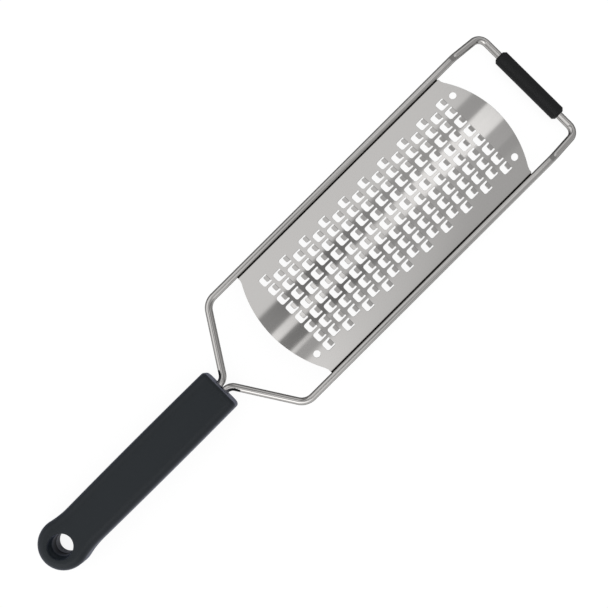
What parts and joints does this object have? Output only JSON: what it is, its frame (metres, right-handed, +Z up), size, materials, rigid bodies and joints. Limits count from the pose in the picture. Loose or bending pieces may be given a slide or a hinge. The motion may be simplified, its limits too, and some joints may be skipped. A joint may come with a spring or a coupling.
{
  "type": "rasp zester",
  "caption": "Hand-held rasp zester: an arched plate of raised teeth welded into a bent wire frame, with a moulded handle that hangs and a rubber foot.",
  "frame": {"origin": "middle of the place that the tool covers when it lies flat, at the height of the table", "axes": "+X runs from the handle to the foot, +Y across the plate, +Z up out of the plate's toothed side"},
  "size_m": [0.3398, 0.0736, 0.021],
  "materials": {
    "frame_wire": "polished stainless steel wire",
    "plate_sheet": "bright stainless steel sheet",
    "handle_plastic": "moulded, soft matt",
    "foot_rubber": "moulded, matt"
  },
  "bodies": {
    "root": {"wire_frame": "frame_wire", "blade": "plate_sheet", "handle": "handle_plastic", "foot": "foot_rubber"}
  },
  "joints": []
}
